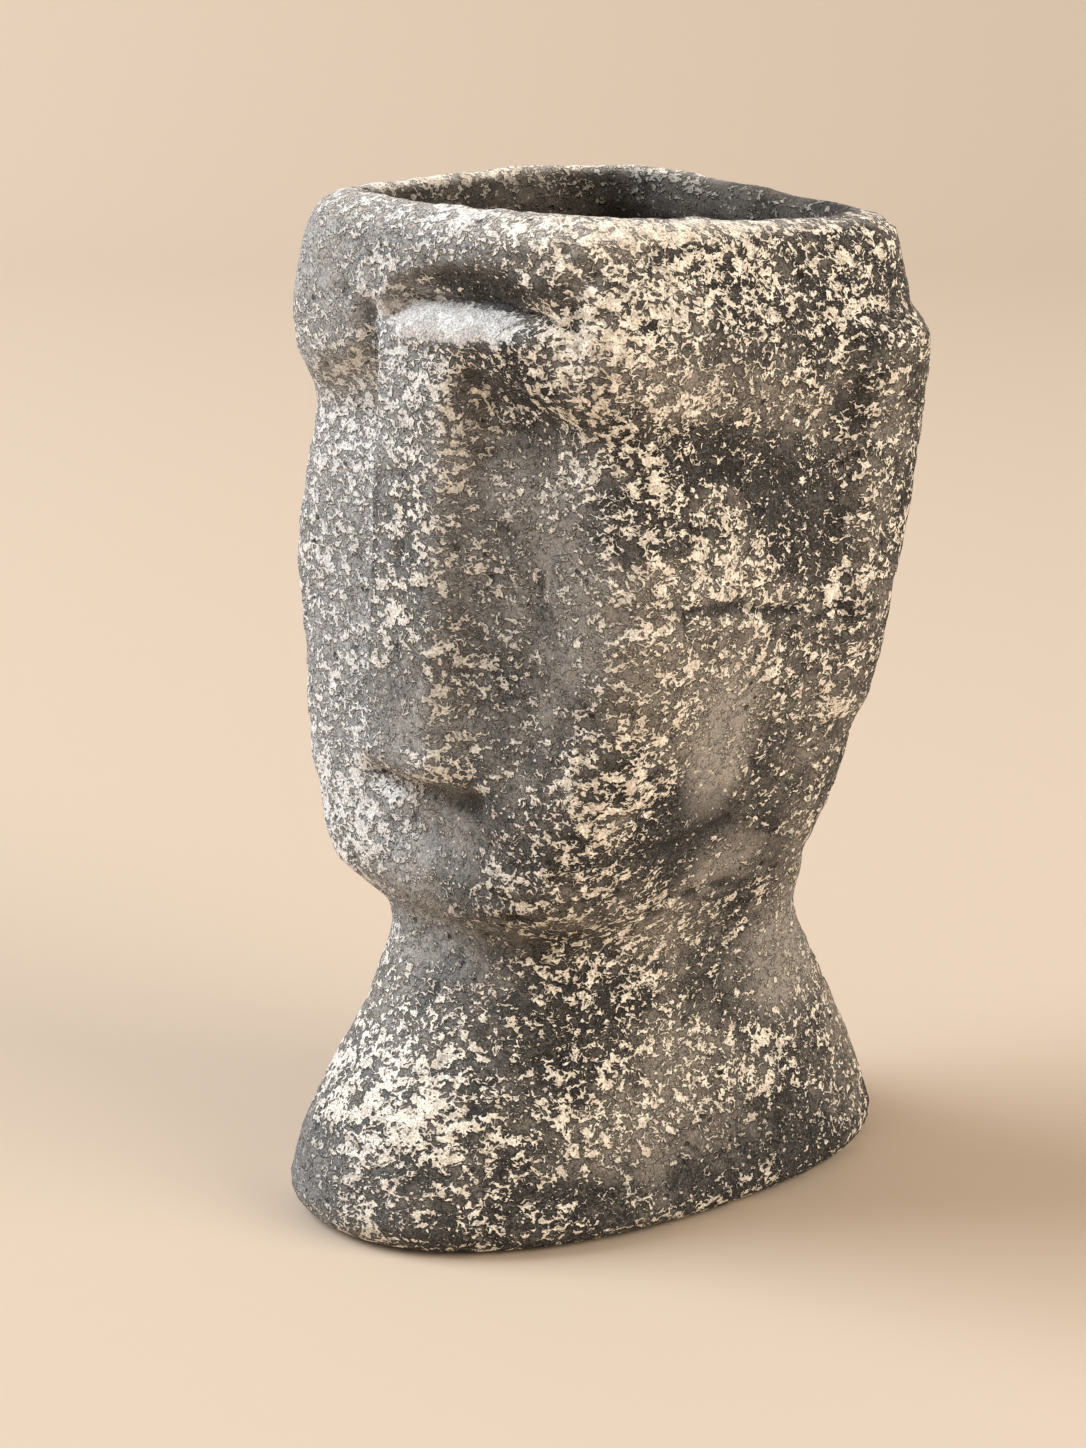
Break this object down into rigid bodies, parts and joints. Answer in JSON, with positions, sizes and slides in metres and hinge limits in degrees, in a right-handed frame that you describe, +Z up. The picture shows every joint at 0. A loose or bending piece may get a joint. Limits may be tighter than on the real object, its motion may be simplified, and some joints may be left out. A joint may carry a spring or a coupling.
{
  "type": "head-shaped planter",
  "caption": "Tall stylised stone head on a flared oval foot, with a long nose and a heavy brow, hollow and open at the crown for soil and a plant.",
  "frame": {"origin": "on the ground, under the middle of the bounding box", "axes": "+Z up out of the crown, -Y the way the face looks, +X toward the head's own left side"},
  "size_m": [0.1796, 0.214, 0.32],
  "materials": {
    "cast_stone": "matt grey cast stone, sponged with a raised cream wash"
  },
  "bodies": {
    "root": {"planter_head": "cast_stone"}
  },
  "joints": []
}
